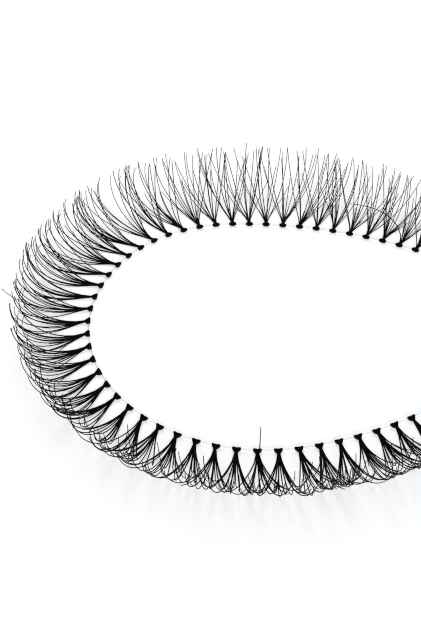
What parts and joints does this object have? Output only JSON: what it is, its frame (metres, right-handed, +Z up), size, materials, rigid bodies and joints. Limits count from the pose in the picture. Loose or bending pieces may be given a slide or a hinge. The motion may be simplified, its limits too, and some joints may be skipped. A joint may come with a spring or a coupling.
{
  "type": "false eyelash strip",
  "caption": "Strip of curled black false lash fans knotted along a fine clear thread, laid in an open loop; cut to length and glued along the lash line.",
  "frame": {"origin": "middle of the underside of the box round the strip, on the surface that the knots rest on", "axes": "+X towards the open end of the loop, +Y towards the far side of the loop, +Z up, the way the hairs curl"},
  "size_m": [0.0544, 0.0516, 0.0056],
  "materials": {
    "black_fibre": "satin",
    "clear_thread": "gloss"
  },
  "bodies": {
    "root": {"band_thread": "clear_thread", "lash_cluster_01": "black_fibre", "lash_cluster_02": "black_fibre", "lash_cluster_03": "black_fibre", "lash_cluster_04": "black_fibre", "lash_cluster_05": "black_fibre", "lash_cluster_06": "black_fibre", "lash_cluster_07": "black_fibre", "lash_cluster_08": "black_fibre", "lash_cluster_09": "black_fibre", "lash_cluster_10": "black_fibre", "lash_cluster_11": "black_fibre", "lash_cluster_12": "black_fibre", "lash_cluster_13": "black_fibre", "lash_cluster_14": "black_fibre", "lash_cluster_15": "black_fibre", "lash_cluster_16": "black_fibre", "lash_cluster_17": "black_fibre", "lash_cluster_18": "black_fibre", "lash_cluster_19": "black_fibre", "lash_cluster_20": "black_fibre", "lash_cluster_21": "black_fibre", "lash_cluster_22": "black_fibre", "lash_cluster_23": "black_fibre", "lash_cluster_24": "black_fibre", "lash_cluster_25": "black_fibre", "lash_cluster_26": "black_fibre", "lash_cluster_27": "black_fibre", "lash_cluster_28": "black_fibre", "lash_cluster_29": "black_fibre", "lash_cluster_30": "black_fibre", "lash_cluster_31": "black_fibre", "lash_cluster_32": "black_fibre", "lash_cluster_33": "black_fibre", "lash_cluster_34": "black_fibre", "lash_cluster_35": "black_fibre", "lash_cluster_36": "black_fibre", "lash_cluster_37": "black_fibre", "lash_cluster_38": "black_fibre", "lash_cluster_39": "black_fibre", "lash_cluster_40": "black_fibre", "lash_cluster_41": "black_fibre", "lash_cluster_42": "black_fibre", "lash_cluster_43": "black_fibre", "lash_cluster_44": "black_fibre", "lash_cluster_45": "black_fibre", "lash_cluster_46": "black_fibre", "lash_cluster_47": "black_fibre", "lash_cluster_48": "black_fibre", "lash_cluster_49": "black_fibre", "lash_cluster_50": "black_fibre", "lash_cluster_51": "black_fibre"}
  },
  "joints": []
}
